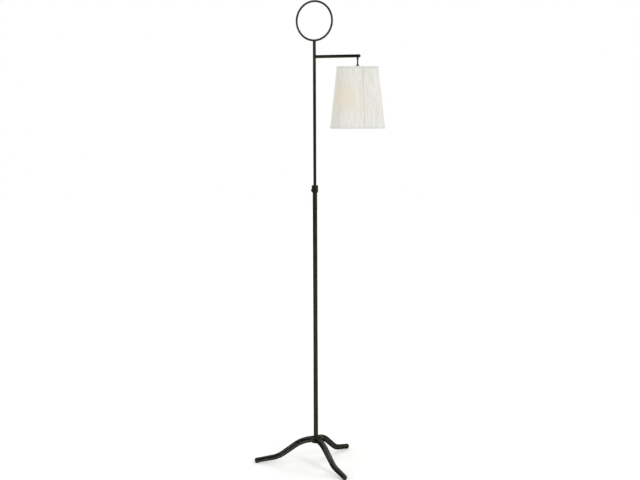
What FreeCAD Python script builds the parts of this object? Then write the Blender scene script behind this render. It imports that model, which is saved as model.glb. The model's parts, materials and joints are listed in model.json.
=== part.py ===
import FreeCAD, Part
import math
import os
import re
import Sketcher

# Adjustable floor lamp: three forged legs, a telescoping stem with a collar and thumb screw,
# a carrying ring on top, and a pleated shade that hangs from a short arm.
# Origin on the floor under the stem, +Z up, the arm and the ring in the XZ plane, arm along +X.

V = FreeCAD.Vector
PARTS_FOLDER = "parts"

# Driving sizes in millimetres and degrees. Counts are plain numbers.
SIZES = {
    # Legs and feet
    "leg_root_bar": 23, "leg_toe_bar": 17.2, "leg_flat": 6, "leg_shoulder_radius": 116,
    "leg_fall_angle": 35.7, "leg_fall_length": 50.6, "leg_toe_radius": 100, "leg_toe_angle": 10.8,
    "leg_toe_length": 63.7, "leg_end_round": 7.4,
    "left_leg_yaw": 201.2, "front_leg_yaw": 321.2, "rear_leg_yaw": 81.2,
    "pad_diameter": 10, "pad_thickness": 1.6, "pad_taper": 0.5, "ground_spot": 1.2,
    # Hub under the stem
    "hub_diameter": 27, "hub_skirt": 1, "hub_shoulder": 2.2, "hub_recess_diameter": 20,
    "hub_recess_depth": 11.4, "nipple_diameter": 10, "nipple_bore": 7.4, "nipple_up": 15,
    "nipple_down": 9.2, "washer_diameter": 18, "washer_thickness": 1.5, "nut_across_flats": 15,
    "nut_thickness": 5, "outlet_diameter": 13, "outlet_length": 5, "outlet_grip": 2.6, "outlet_bore": 7,
    "outlet_chamfer": 0.6,
    # Lower tube and collar
    "lower_tube_diameter": 15.5, "lower_tube_wall": 1.3, "lower_tube_length": 856.6, "plug_length": 14,
    "collar_diameter": 22, "collar_height": 25.4, "collar_chamfer": 1, "collar_taper": 3,
    "spigot_length": 22, "collar_bush_diameter": 13.4, "collar_bush_length": 12,
    "set_screw_diameter": 3.4, "set_screw_drop": 11.6, "set_screw_yaw": 270, "set_screw_socket": 1.6,
    "set_screw_socket_depth": 1.2,
    # Thumb screw
    "thumb_screw_yaw": 141.5, "thumb_screw_rise": 7.4, "thumb_shank_diameter": 5, "thumb_head_diameter": 12,
    "thumb_head_thickness": 6.6, "thumb_head_gap": 1.8, "thumb_head_round": 1.2, "knurl_count": 18,
    "knurl_diameter": 1.5, "pad_disc_diameter": 4.4, "pad_disc_thickness": 1.8, "thumb_neck_diameter": 8,
    # Telescoping guide
    "guide_length": 18, "stop_ring_thickness": 3.7, "tail_length": 4, "guide_depth": 69.6,
    # Mast, arm and ring
    "upper_tube_diameter": 10.3, "upper_tube_wall": 1.2, "mast_exposed": 488.4, "mast_saddle": 1.5,
    "mast_plug_thickness": 3, "arm_drop": 52.6, "arm_diameter": 10.5, "arm_wall": 1.3, "arm_reach": 157.6,
    "arm_overhang": 10, "arm_plug_depth": 1.6, "arm_end_round": 4, "arm_end_land": 0.8, "wire_hole": 6.5,
    "ring_bar": 7, "ring_radius": 65.2,
    # Swivel and knuckle
    "clevis_diameter": 7, "clevis_height": 5.8, "clevis_plate": 1.2, "clevis_slot": 2.8, "stud_diameter": 4.4,
    "stud_bore": 2.2, "swivel_clip_diameter": 6.4, "swivel_clip_thickness": 1.2, "stud_spare": 0.4,
    "pivot_drop": 3.95, "pivot_pin_diameter": 2, "tongue_thickness": 2.4, "tongue_length": 3.5,
    # Hanger stem and shade fitting
    "shade_drop": 26.1, "stem_diameter": 4.8, "stem_bore": 2.8, "stem_below": 11.5, "cone_height": 4.5,
    "cone_top_diameter": 5.6, "cone_foot_diameter": 8.4, "cap_diameter": 13, "cap_height": 3.6,
    "cap_lip": 2.6, "coupler_diameter": 10, "coupler_length": 13, "spider_hub_diameter": 26,
    "spider_thickness": 1.4, "spoke_count": 3, "spoke_diameter": 2.6, "spoke_yaw": 64.5,
    # Lamp holder
    "holder_cap_neck": 13.6, "holder_cap_neck_length": 7, "holder_cap_diameter": 34.5, "holder_cap_dome": 10,
    "holder_cap_skirt": 5, "holder_cap_wall": 1.2, "shell_diameter": 31.6, "shell_wall": 0.8,
    "shell_length": 42, "shell_tuck": 4.5, "liner_wall": 0.7, "liner_length": 38, "core_length": 15,
    "core_drop": 20, "screw_shell_bore": 26.9, "screw_shell_wall": 0.4, "screw_shell_length": 21,
    "screw_shell_mouth": 12, "contact_diameter": 8, "contact_thickness": 1, "contact_neck_diameter": 3,
    "contact_neck_length": 1.5,
    "switch_spindle_diameter": 3.6, "switch_spindle_in": 8, "switch_spindle_out": 26, "switch_drop": 27.5,
    "switch_hole_diameter": 5, "switch_knob_diameter": 9, "switch_knob_length": 11, "switch_knob_waist": 6.4,
    "switch_knob_grip": 4, "switch_yaw": 90,
    # Bulb
    "bulb_diameter": 60, "bulb_wall": 1, "bulb_cap_diameter": 26, "bulb_cap_length": 22, "bulb_cap_wall": 0.4,
    "bulb_cap_tuck": 3, "bulb_insulator_height": 2.4, "bulb_insulator_foot": 20, "bulb_insulator_tip": 9,
    "bulb_contact_height": 0.9, "bulb_length": 108, "bulb_neck_diameter": 24, "bulb_neck_drop": 26,
    "filament_count": 4, "filament_diameter": 2, "filament_circle": 14, "filament_length": 34,
    "post_diameter": 6, "post_length": 88, "filament_rise": 3,
    # Shade
    "shade_top_radius": 70.2, "shade_bottom_radius": 92.7, "shade_height": 205.4, "pleat_count": 120,
    "pleat_depth": 1.2, "cover_thickness": 0.7, "trim_height": 5, "trim_thickness": 0.6,
    "ring_wire": 2.8, "rib_wire": 2.2, "rib_count": 6, "rib_yaw": 6.5, "lining_thickness": 0.5,
    "lining_drop": 3.2, "frame_gap": 0.15,
    # Clearances
    "running_gap": 0.06, "fit_gap": 0.05, "free_gap": 0.3, "cut_over": 2,
}

doc = FreeCAD.newDocument("floor_lamp")
sheet = doc.addObject("Spreadsheet::Sheet", "sizes")
for row, (alias, amount) in enumerate(SIZES.items(), start=1):
    sheet.set("A%d" % row, alias.replace("_", " "))
    sheet.set("B%d" % row, str(amount))
    sheet.setAlias("B%d" % row, alias)
probe = doc.addObject("App::FeaturePython", "probe")
probe.addProperty("App::PropertyFloat", "Reading")
doc.recompute()

# Places that several pieces share, as formulas of the driving sizes
FALL_SIN = "sin(leg_fall_angle)"
FALL_COS = "cos(leg_fall_angle)"
TOE_SIN = "sin(leg_toe_angle)"
TOE_COS = "cos(leg_toe_angle)"
TOE_LOW = f"(leg_end_round * (1 - {TOE_SIN}) + (leg_toe_bar / 2 - leg_end_round) * {TOE_COS})"
TOE_Z = f"(pad_thickness - ground_spot + {TOE_LOW})"
TOE_START_Z = f"({TOE_Z} + leg_toe_length * {TOE_SIN})"
FALL_END_Z = f"({TOE_START_Z} + leg_toe_radius * ({TOE_COS} - {FALL_COS}))"
FALL_START_Z = f"({FALL_END_Z} + leg_fall_length * {FALL_SIN})"
CROWN_Z = f"({FALL_START_Z} + leg_shoulder_radius * (1 - {FALL_COS}))"
FALL_START_X = f"(leg_flat + leg_shoulder_radius * {FALL_SIN})"
FALL_END_X = f"({FALL_START_X} + leg_fall_length * {FALL_COS})"
TOE_START_X = f"({FALL_END_X} + leg_toe_radius * ({FALL_SIN} - {TOE_SIN}))"
TOE_X = f"({TOE_START_X} + leg_toe_length * {TOE_COS})"
HUB_TOP = f"({CROWN_Z} + leg_root_bar / 2)"
HUB_BOTTOM = f"({CROWN_Z} - leg_root_bar / 2 - hub_skirt)"
HUB_SEAT = f"({HUB_BOTTOM} + hub_recess_depth)"
LOWER_TOP = f"({HUB_TOP} + lower_tube_length)"
LOWER_BORE = "(lower_tube_diameter / 2 - lower_tube_wall)"
COLLAR_TOP = f"({LOWER_TOP} + collar_height)"
MAST_TOP = f"({COLLAR_TOP} + mast_exposed)"
MAST_RADIUS = "(upper_tube_diameter / 2)"
MAST_BORE = "(upper_tube_diameter / 2 - upper_tube_wall)"
GUIDE_TOP = f"({LOWER_TOP} - guide_depth)"
TAIL_TOP = f"({GUIDE_TOP} - guide_length - free_gap)"
MAST_BOTTOM = f"({TAIL_TOP} - tail_length)"
RING_Z = f"({MAST_TOP} - mast_saddle + ring_bar / 2 + ring_radius)"
ARM_Z = f"({MAST_TOP} - arm_drop)"
ARM_BORE = "(arm_diameter / 2 - arm_wall)"
CLEVIS_TOP = f"({ARM_Z} - arm_diameter / 2 - fit_gap)"
PIVOT_Z = f"({CLEVIS_TOP} - pivot_drop)"
CLIP_SEAT = f"({ARM_Z} - sqrt({ARM_BORE} ^ 2 - (swivel_clip_diameter / 2) ^ 2) + fit_gap)"
SHADE_TOP = f"({PIVOT_Z} - shade_drop)"
SCREW_Z = f"({LOWER_TOP} + thumb_screw_rise)"
SLOPE = "((shade_bottom_radius - shade_top_radius) / shade_height)"
SKIN_DEPTH = "(trim_thickness + fit_gap + pleat_depth + cover_thickness + frame_gap)"
SPIDER_Z = f"({SHADE_TOP} - spider_thickness)"
SHELL_TOP = f"({SPIDER_Z} - holder_cap_neck_length - holder_cap_dome - holder_cap_skirt + shell_tuck)"
SHELL_BORE = "(shell_diameter / 2 - shell_wall)"
LINER_BORE = f"({SHELL_BORE} - fit_gap - liner_wall)"
CORE_TOP = f"({SPIDER_Z} - core_drop)"
CORE_BOTTOM = f"({CORE_TOP} - core_length)"
SWITCH_Z = f"({SPIDER_Z} - switch_drop)"
CONTACT_Z = f"({CORE_BOTTOM} - contact_neck_length - contact_thickness)"
BULB_TOP = f"({CONTACT_Z} - fit_gap)"
BULB_CAP_TOP = f"({BULB_TOP} - bulb_contact_height - bulb_insulator_height)"
BULB_CENTRE = f"({BULB_TOP} - bulb_length + bulb_diameter / 2)"


def bound(formula):
    """The formula with each size's name led by the sheet's own name."""
    return re.sub(r"[a-z_]+", lambda word: "sizes." + word.group() if word.group() in SIZES else word.group(), formula)


def size_of(formula):
    """What the formula comes to with the sizes as they are."""
    probe.setExpression("Reading", bound(formula))
    probe.recompute()
    return probe.Reading


def bind(thing, formulas):
    for place, formula in formulas.items():
        thing.setExpression(place, bound(formula))
    return thing


def put(thing, x="0", y="0", z="0"):
    """Place the thing by formulas for its three coordinates."""
    return bind(thing, {"Placement.Base.x": x, "Placement.Base.y": y, "Placement.Base.z": z})


def turn(thing, yaw):
    """Turn the thing about the vertical."""
    thing.Placement.Rotation = FreeCAD.Rotation(V(0, 0, 1), size_of(yaw))
    return bind(thing, {"Placement.Rotation.Angle": yaw})


def aim(thing, yaw, tip="90"):
    """Tip the thing's own axis down from the vertical by the tip angle, towards the heading."""
    heading = math.radians(size_of(yaw))
    thing.Placement.Rotation = FreeCAD.Rotation(V(-math.sin(heading), math.cos(heading), 0), size_of(tip))
    return bind(thing, {
        "Placement.Rotation.Axis.x": f"-sin({yaw})", "Placement.Rotation.Axis.y": f"cos({yaw})",
        "Placement.Rotation.Angle": tip,
    })


def new_body(name):
    body = doc.addObject("PartDesign::Body", name)
    body.Label = name
    return body


def new_sketch(body, plane, name):
    sketch = body.newObject("Sketcher::SketchObject", body.Name + name)
    sketch.AttachmentSupport = [(role, "") for role in body.Origin.OriginFeatures if role.Role == plane]
    sketch.MapMode = "FlatFace"
    return sketch


def hold_point(sketch, edge, end, across, up):
    """Fix one end of an edge at two formulas."""
    for kind, formula in (("DistanceX", across), ("DistanceY", up)):
        index = sketch.addConstraint(Sketcher.Constraint(kind, -1, 1, edge, end, size_of(formula)))
        sketch.setExpression("Constraints[%d]" % index, bound(formula))


def hold_radius(sketch, edge, formula):
    index = sketch.addConstraint(Sketcher.Constraint("Radius", edge, size_of(formula)))
    sketch.setExpression("Constraints[%d]" % index, bound(formula))


def draw_outline(sketch, outline):
    """A closed outline of straight edges through points given as two formulas each."""
    corners = [V(size_of(across), size_of(up), 0) for across, up in outline]
    count = len(corners)
    for index in range(count):
        sketch.addGeometry(Part.LineSegment(corners[index], corners[(index + 1) % count]))
    for index in range(count):
        sketch.addConstraint(Sketcher.Constraint("Coincident", index, 2, (index + 1) % count, 1))
        hold_point(sketch, index, 1, *outline[index])


def draw_circle(sketch, across, up, radius):
    centre = V(size_of(across), size_of(up), 0)
    edge = sketch.addGeometry(Part.Circle(centre, V(0, 0, 1), size_of(radius)))
    hold_point(sketch, edge, 3, across, up)
    hold_radius(sketch, edge, radius)


def turned(name, outline):
    """A piece turned on a lathe: its outline is pairs of radius and height."""
    body = new_body(name)
    sketch = new_sketch(body, "XZ_Plane", "_outline")
    draw_outline(sketch, outline)
    spun = body.newObject("PartDesign::Revolution", name + "_turning")
    spun.Profile = sketch
    spun.ReferenceAxis = (sketch, ["V_Axis"])
    spun.Angle = 360
    sketch.Visibility = False
    return body


def sleeve(name, outer, inner, bottom, top):
    """A plain tube between two radii and two heights."""
    return turned(name, [(outer, bottom), (outer, top), (inner, top), (inner, bottom)])


def rod(name, radius, bottom, top):
    return turned(name, [("0", bottom), (radius, bottom), (radius, top), ("0", top)])


def cylinder(name, radius, height):
    return bind(doc.addObject("Part::Cylinder", name), {"Radius": radius, "Height": height})


def block(name, length, width, height):
    return bind(doc.addObject("Part::Box", name), {"Length": length, "Width": width, "Height": height})


def cut(name, base, tool):
    result = doc.addObject("Part::Cut", name)
    result.Base = base
    result.Tool = tool
    result.Label = name
    return result


def fuse(name, *pieces):
    result = doc.addObject("Part::MultiFuse", name)
    result.Shapes = list(pieces)
    result.Refine = True
    result.Label = name
    return result


def group(name, pieces):
    """Separate solids kept as one piece list, such as a set of wires."""
    result = doc.addObject("Part::Compound", name)
    result.Links = pieces
    result.Label = name
    return result


NODES = []


def keep(thing):
    NODES.append(thing)
    return thing


# Legs: round bar forged to a taper on an S-shaped path, cut to the hub and ground flat over the foot pad

def draw_leg_path(sketch):
    places = [("0", CROWN_Z), ("leg_flat", CROWN_Z), (FALL_START_X, FALL_START_Z), (FALL_END_X, FALL_END_Z),
              (TOE_START_X, TOE_START_Z), (TOE_X, TOE_Z)]
    crown, flat, fall, low, toe, end = [V(size_of(across), size_of(up), 0) for across, up in places]
    fall_angle = math.radians(size_of("leg_fall_angle"))
    toe_angle = math.radians(size_of("leg_toe_angle"))
    shoulder = size_of("leg_shoulder_radius")
    toe_bend = size_of("leg_toe_radius")
    shoulder_centre = flat - V(0, shoulder, 0)
    toe_centre = low + V(math.sin(fall_angle), math.cos(fall_angle), 0) * toe_bend
    quarter = math.pi / 2
    sketch.addGeometry(Part.LineSegment(crown, flat))
    sketch.addGeometry(Part.ArcOfCircle(Part.Circle(shoulder_centre, V(0, 0, 1), shoulder),
                                        quarter - fall_angle, quarter))
    sketch.addGeometry(Part.LineSegment(fall, low))
    sketch.addGeometry(Part.ArcOfCircle(Part.Circle(toe_centre, V(0, 0, 1), toe_bend),
                                        -quarter - fall_angle, -quarter - toe_angle))
    sketch.addGeometry(Part.LineSegment(toe, end))
    for first, first_end, second, second_end in ((0, 2, 1, 2), (1, 1, 2, 1), (2, 2, 3, 1), (3, 2, 4, 1)):
        sketch.addConstraint(Sketcher.Constraint("Coincident", first, first_end, second, second_end))
    for (edge, end_number), (across, up) in zip(((0, 1), (0, 2), (2, 1), (2, 2), (4, 1), (4, 2)), places):
        hold_point(sketch, edge, end_number, across, up)
    hold_radius(sketch, 1, "leg_shoulder_radius")
    hold_radius(sketch, 3, "leg_toe_radius")


def make_leg(side):
    name = side + "_leg"
    body = new_body(name)
    path = new_sketch(body, "XZ_Plane", "_path")
    draw_leg_path(path)
    root_section = new_sketch(body, "YZ_Plane", "_root_section")
    draw_circle(root_section, "0", CROWN_Z, "leg_root_bar / 2")
    toe_section = new_sketch(body, "YZ_Plane", "_toe_section")
    draw_circle(toe_section, "0", "0", "leg_toe_bar / 2")
    turned_down = FreeCAD.Rotation(V(1, 0, 0), size_of("leg_toe_angle"))
    toe_section.AttachmentOffset = FreeCAD.Placement(V(0, 0, 0), turned_down)
    bind(toe_section, {"AttachmentOffset.Base.y": TOE_Z, "AttachmentOffset.Base.z": TOE_X,
                       "AttachmentOffset.Rotation.Angle": "leg_toe_angle"})
    doc.recompute()
    bar = body.newObject("PartDesign::AdditivePipe", name + "_bar")
    bar.Profile = root_section
    bar.Sections = [(toe_section, [""])]
    bar.Transformation = "Multisection"
    bar.Spine = (path, ["Edge%d" % (number + 1) for number in range(path.GeometryCount)])
    doc.recompute()
    toe = max(range(len(bar.Shape.Edges)), key=lambda number: bar.Shape.Edges[number].BoundBox.XMin)
    rounding = body.newObject("PartDesign::Fillet", name + "_end")
    rounding.Base = (bar, ["Edge%d" % (toe + 1)])
    bind(rounding, {"Radius": "leg_end_round"})
    spot = body.newObject("PartDesign::SubtractiveBox", name + "_ground_spot")
    bind(spot, {"Length": f"2 * {TOE_X}", "Width": "2 * leg_root_bar", "Height": "pad_thickness + cut_over"})
    put(spot, "0", "-leg_root_bar", "-cut_over")
    root = body.newObject("PartDesign::SubtractiveCylinder", name + "_root")
    bind(root, {"Radius": "hub_diameter / 2", "Height": HUB_TOP + " + cut_over"})
    turn(body, name + "_yaw")
    pad_reach = f"({TOE_X} - leg_end_round * {TOE_COS} - (leg_toe_bar / 2 - leg_end_round) * {TOE_SIN})"
    pad = turned(side + "_foot_pad", [
        ("0", "0"), ("pad_diameter / 2 - pad_taper", "0"), ("pad_diameter / 2", "pad_taper"),
        ("pad_diameter / 2", "pad_thickness"), ("0", "pad_thickness")])
    put(pad, f"{pad_reach} * cos({name}_yaw)", f"{pad_reach} * sin({name}_yaw)")
    keep(body)
    keep(pad)


# Hub: the boss that the legs are welded to, with a recess below for the nipple's washer, nut and lead outlet

def make_hub():
    keep(turned("base_hub", [
        ("hub_recess_diameter / 2", HUB_BOTTOM), ("hub_diameter / 2", HUB_BOTTOM),
        ("hub_diameter / 2", f"{HUB_TOP} - hub_shoulder"), ("lower_tube_diameter / 2 + fit_gap", HUB_TOP),
        ("nipple_diameter / 2", HUB_TOP), ("nipple_diameter / 2", HUB_SEAT),
        ("hub_recess_diameter / 2", HUB_SEAT)]))
    keep(sleeve("hub_nipple", "nipple_diameter / 2", "nipple_bore / 2", f"{HUB_SEAT} - nipple_down",
                f"{HUB_TOP} + nipple_up"))
    keep(sleeve("hub_washer", "washer_diameter / 2", "nipple_diameter / 2", f"{HUB_SEAT} - washer_thickness",
                HUB_SEAT))
    nut = new_body("hub_nut")
    sketch = new_sketch(nut, "XY_Plane", "_flats")
    corner = "(nut_across_flats / sqrt(3))"
    draw_outline(sketch, [(f"{corner} * cos({60 * step})", f"{corner} * sin({60 * step})") for step in range(6)])
    draw_circle(sketch, "0", "0", "nipple_diameter / 2")
    pad = nut.newObject("PartDesign::Pad", "hub_nut_height")
    pad.Profile = sketch
    bind(pad, {"Length": "nut_thickness"})
    keep(put(nut, z=f"{HUB_SEAT} - washer_thickness - nut_thickness"))
    outlet_top = f"({HUB_SEAT} - nipple_down + outlet_grip)"
    outlet_bottom = f"({outlet_top} - outlet_length)"
    lip_top = f"({outlet_top} - outlet_grip)"
    keep(turned("cord_bush", [
        ("outlet_bore / 2 + outlet_chamfer", outlet_bottom), ("outlet_diameter / 2 - outlet_chamfer", outlet_bottom),
        ("outlet_diameter / 2", f"{outlet_bottom} + outlet_chamfer"), ("outlet_diameter / 2", outlet_top),
        ("nipple_diameter / 2", outlet_top), ("nipple_diameter / 2", lip_top), ("outlet_bore / 2", lip_top),
        ("outlet_bore / 2", f"{outlet_bottom} + outlet_chamfer")]))
    keep(sleeve("tube_plug", LOWER_BORE, "nipple_diameter / 2", HUB_TOP, f"{HUB_TOP} + plug_length"))


# Lower tube with the collar that clamps the mast

def make_lower_tube():
    tube = sleeve("lower_tube_blank", "lower_tube_diameter / 2", LOWER_BORE, HUB_TOP, LOWER_TOP)
    hole = cylinder("lower_tube_screw_hole", "set_screw_diameter / 2", "lower_tube_diameter")
    aim(put(hole, z=f"{LOWER_TOP} - set_screw_drop"), "set_screw_yaw")
    keep(cut("lower_tube", tube, hole))
    slide_bore = f"({MAST_RADIUS} + free_gap)"
    spigot = f"({LOWER_BORE} - fit_gap)"
    blank = turned("collar_blank", [
        (slide_bore, f"{LOWER_TOP} - spigot_length"), (spigot, f"{LOWER_TOP} - spigot_length"),
        (spigot, LOWER_TOP), ("lower_tube_diameter / 2 + collar_chamfer", LOWER_TOP),
        ("collar_diameter / 2", f"{LOWER_TOP} + collar_taper"),
        ("collar_diameter / 2", f"{COLLAR_TOP} - collar_chamfer"),
        ("collar_diameter / 2 - collar_chamfer", COLLAR_TOP), ("collar_bush_diameter / 2", COLLAR_TOP),
        ("collar_bush_diameter / 2", f"{COLLAR_TOP} - collar_bush_length"),
        (slide_bore, f"{COLLAR_TOP} - collar_bush_length")])
    screw_hole = cylinder("collar_thumb_hole", "thumb_shank_diameter / 2 + running_gap", "collar_diameter")
    aim(put(screw_hole, z=SCREW_Z), "thumb_screw_yaw")
    grub_hole = cylinder("collar_set_hole", "set_screw_diameter / 2", "lower_tube_diameter")
    aim(put(grub_hole, z=f"{LOWER_TOP} - set_screw_drop"), "set_screw_yaw")
    keep(cut("collar", cut("collar_drilled", blank, screw_hole), grub_hole))
    keep(sleeve("collar_bush", "collar_bush_diameter / 2", f"{MAST_RADIUS} + running_gap",
                f"{COLLAR_TOP} - collar_bush_length", COLLAR_TOP))
    grub = turned("collar_set_screw", [
        ("0", slide_bore), ("set_screw_diameter / 2", slide_bore),
        ("set_screw_diameter / 2", "lower_tube_diameter / 2"), ("set_screw_socket / 2", "lower_tube_diameter / 2"),
        ("set_screw_socket / 2", "lower_tube_diameter / 2 - set_screw_socket_depth"),
        ("0", "lower_tube_diameter / 2 - set_screw_socket_depth")])
    keep(aim(put(grub, z=f"{LOWER_TOP} - set_screw_drop"), "set_screw_yaw"))


# Thumb screw: a knurled head on a shank that presses a small disc against the mast

def make_thumb_screw():
    disc_start = f"({MAST_RADIUS} + fit_gap)"
    shank_start = f"({disc_start} + pad_disc_thickness)"
    head_start = "(collar_diameter / 2 + thumb_head_gap)"
    head_end = f"({head_start} + thumb_head_thickness)"
    disc = rod("screw_pad", "pad_disc_diameter / 2", disc_start, shank_start)
    keep(aim(put(disc, z=SCREW_Z), "thumb_screw_yaw"))
    screw = turned("thumb_screw", [
        ("0", shank_start), ("thumb_shank_diameter / 2", shank_start), ("thumb_shank_diameter / 2", head_start),
        ("thumb_neck_diameter / 2", head_start), ("thumb_head_diameter / 2", f"{head_start} + thumb_head_round"),
        ("thumb_head_diameter / 2", f"{head_end} - thumb_head_round"),
        ("thumb_head_diameter / 2 - thumb_head_round", head_end), ("0", head_end)])
    doc.recompute()
    flute = screw.newObject("PartDesign::SubtractiveCylinder", "thumb_screw_flute")
    bind(flute, {"Radius": "knurl_diameter / 2", "Height": f"thumb_head_thickness + 2 * thumb_head_gap"})
    put(flute, "thumb_head_diameter / 2", "0", f"{head_start} - thumb_head_gap / 2")
    knurl = screw.newObject("PartDesign::PolarPattern", "thumb_screw_knurl")
    knurl.Originals = [flute]
    knurl.Axis = ([axis for axis in screw.Origin.OriginFeatures if axis.Role == "Z_Axis"][0], [""])
    knurl.Angle = 360
    bind(knurl, {"Occurrences": "knurl_count"})
    screw.Tip = knurl
    keep(aim(put(screw, z=SCREW_Z), "thumb_screw_yaw"))


# Mast: the upper tube with its guide, stop ring, arm, carrying ring and plugs

def make_mast():
    keep(sleeve("guide_bush", f"{LOWER_BORE} - running_gap", f"{MAST_RADIUS} + running_gap",
                f"{GUIDE_TOP} - guide_length", GUIDE_TOP))
    keep(sleeve("stop_ring", f"{LOWER_BORE} - free_gap", MAST_RADIUS, f"{GUIDE_TOP} + free_gap",
                f"{GUIDE_TOP} + free_gap + stop_ring_thickness"))
    keep(sleeve("tail_ring", f"{LOWER_BORE} - free_gap", MAST_RADIUS, MAST_BOTTOM, TAIL_TOP))
    ring_cutter = bind(doc.addObject("Part::Torus", "mast_saddle_cutter"), {
        "Radius1": "ring_radius", "Radius2": "ring_bar / 2"})
    aim(put(ring_cutter, z=RING_Z), "90")
    tube = sleeve("upper_tube_blank", MAST_RADIUS, MAST_BORE, MAST_BOTTOM, MAST_TOP)
    wire_hole = cylinder("upper_tube_wire_hole", "wire_hole / 2", "upper_tube_diameter")
    aim(put(wire_hole, z=ARM_Z), "0")
    keep(cut("upper_tube", cut("upper_tube_drilled", tube, wire_hole), ring_cutter))
    keep(put(rod("mast_plug", MAST_BORE, "0", "mast_plug_thickness"),
             z=f"{MAST_TOP} - mast_saddle - mast_plug_thickness"))
    ring = bind(doc.addObject("Part::Torus", "finial_ring"), {"Radius1": "ring_radius", "Radius2": "ring_bar / 2"})
    ring.Label = "finial_ring"
    keep(aim(put(ring, z=RING_Z), "90"))


def make_arm():
    arm_end = "(arm_reach + arm_overhang - arm_end_round - arm_end_land)"
    plug_end = "(arm_reach + arm_overhang)"
    blank = sleeve("arm_blank", "arm_diameter / 2", ARM_BORE, "0", arm_end)
    aim(put(blank, z=ARM_Z), "0")
    saddle = cylinder("arm_saddle_cutter", MAST_RADIUS, "2 * arm_diameter")
    put(saddle, z=f"{ARM_Z} - arm_diameter")
    swivel_hole = cylinder("arm_swivel_hole", "stud_diameter / 2 + running_gap", "arm_diameter")
    put(swivel_hole, "arm_reach", "0", f"{ARM_Z} - arm_diameter")
    keep(cut("arm", cut("arm_saddled", blank, saddle), swivel_hole))
    plug = turned("arm_plug", [
        ("0", f"{arm_end} - arm_plug_depth"), (ARM_BORE, f"{arm_end} - arm_plug_depth"), (ARM_BORE, arm_end),
        ("arm_diameter / 2", arm_end), ("arm_diameter / 2", plug_end), ("0", plug_end)])
    doc.recompute()
    rim = [number for number, edge in enumerate(plug.Shape.Edges)
           if abs(edge.BoundBox.ZMin - size_of(plug_end)) < size_of("fit_gap") and edge.isClosed()]
    turning = plug.Tip
    dome = plug.newObject("PartDesign::Fillet", "arm_plug_dome")
    dome.Base = (turning, ["Edge%d" % (rim[0] + 1)])
    bind(dome, {"Radius": "arm_end_round"})
    keep(aim(put(plug, z=ARM_Z), "0"))


# Swivel: a clevis that turns in the arm, held by a clip, with the knuckle pin through its ears

def make_swivel():
    stud_top = f"({CLIP_SEAT} + swivel_clip_thickness + stud_spare)"
    clevis = turned("clevis_blank", [
        ("stud_bore / 2", f"{CLEVIS_TOP} - clevis_height"), ("clevis_diameter / 2", f"{CLEVIS_TOP} - clevis_height"),
        ("clevis_diameter / 2", CLEVIS_TOP), ("stud_diameter / 2", CLEVIS_TOP), ("stud_diameter / 2", stud_top),
        ("stud_bore / 2", stud_top)])
    put(clevis, "arm_reach")
    slot = block("clevis_slot_cutter", "2 * clevis_diameter", "clevis_slot", "clevis_height - clevis_plate + cut_over")
    put(slot, "arm_reach - clevis_diameter", "-clevis_slot / 2", f"{CLEVIS_TOP} - clevis_height - cut_over")
    pin_hole = cylinder("clevis_pin_hole", "pivot_pin_diameter / 2", "2 * clevis_diameter")
    aim(put(pin_hole, "arm_reach", "-clevis_diameter", PIVOT_Z), "90")
    keep(cut("swivel_clevis", cut("clevis_slotted", clevis, slot), pin_hole))
    keep(put(sleeve("swivel_clip", "swivel_clip_diameter / 2", "stud_diameter / 2", CLIP_SEAT,
                    f"{CLIP_SEAT} + swivel_clip_thickness"), "arm_reach"))
    pin = rod("knuckle_pin", "pivot_pin_diameter / 2", "-clevis_diameter / 2", "clevis_diameter / 2")
    keep(aim(put(pin, "arm_reach", "0", PIVOT_Z), "90"))


# Hanger: the stem under the knuckle, the cone and cap over the shade, and the coupler that holds both

def make_hanger():
    stem_top = f"({PIVOT_Z} - tongue_length)"
    stem_bottom = f"({SHADE_TOP} - stem_below)"
    tube = sleeve("hanger_tube", "stem_diameter / 2", "stem_bore / 2", stem_bottom, stem_top)
    put(tube, "arm_reach")
    tongue = block("hanger_tongue", "stem_diameter", "tongue_thickness", "tongue_length")
    put(tongue, "arm_reach - stem_diameter / 2", "-tongue_thickness / 2", stem_top)
    eye = cylinder("hanger_eye", "stem_diameter / 2", "tongue_thickness")
    aim(put(eye, "arm_reach", "-tongue_thickness / 2", PIVOT_Z), "90")
    eye_hole = cylinder("hanger_eye_hole", "pivot_pin_diameter / 2 + running_gap", "2 * clevis_diameter")
    aim(put(eye_hole, "arm_reach", "-clevis_diameter", PIVOT_Z), "90")
    keep(cut("hanger_stem", fuse("hanger_whole", tube, tongue, eye), eye_hole))
    stem_radius = "(stem_diameter / 2)"
    cap_top = f"({SHADE_TOP} + cap_height)"
    keep(put(turned("stem_cone", [
        (stem_radius, cap_top), ("cone_foot_diameter / 2", cap_top),
        ("cone_top_diameter / 2", f"{cap_top} + cone_height"), (stem_radius, f"{cap_top} + cone_height")]), "arm_reach"))
    keep(put(turned("shade_cap", [
        (stem_radius, SHADE_TOP), ("cap_diameter / 2", SHADE_TOP), ("cap_diameter / 2", f"{SHADE_TOP} + cap_lip"),
        ("cone_foot_diameter / 2", cap_top), (stem_radius, cap_top)]), "arm_reach"))
    keep(put(sleeve("stem_coupler", "coupler_diameter / 2", stem_radius, f"{SHADE_TOP} - coupler_length",
                    SHADE_TOP), "arm_reach"))


# Lamp holder: cap, shell, liner, core, screw shell, centre contact and turn switch

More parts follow.
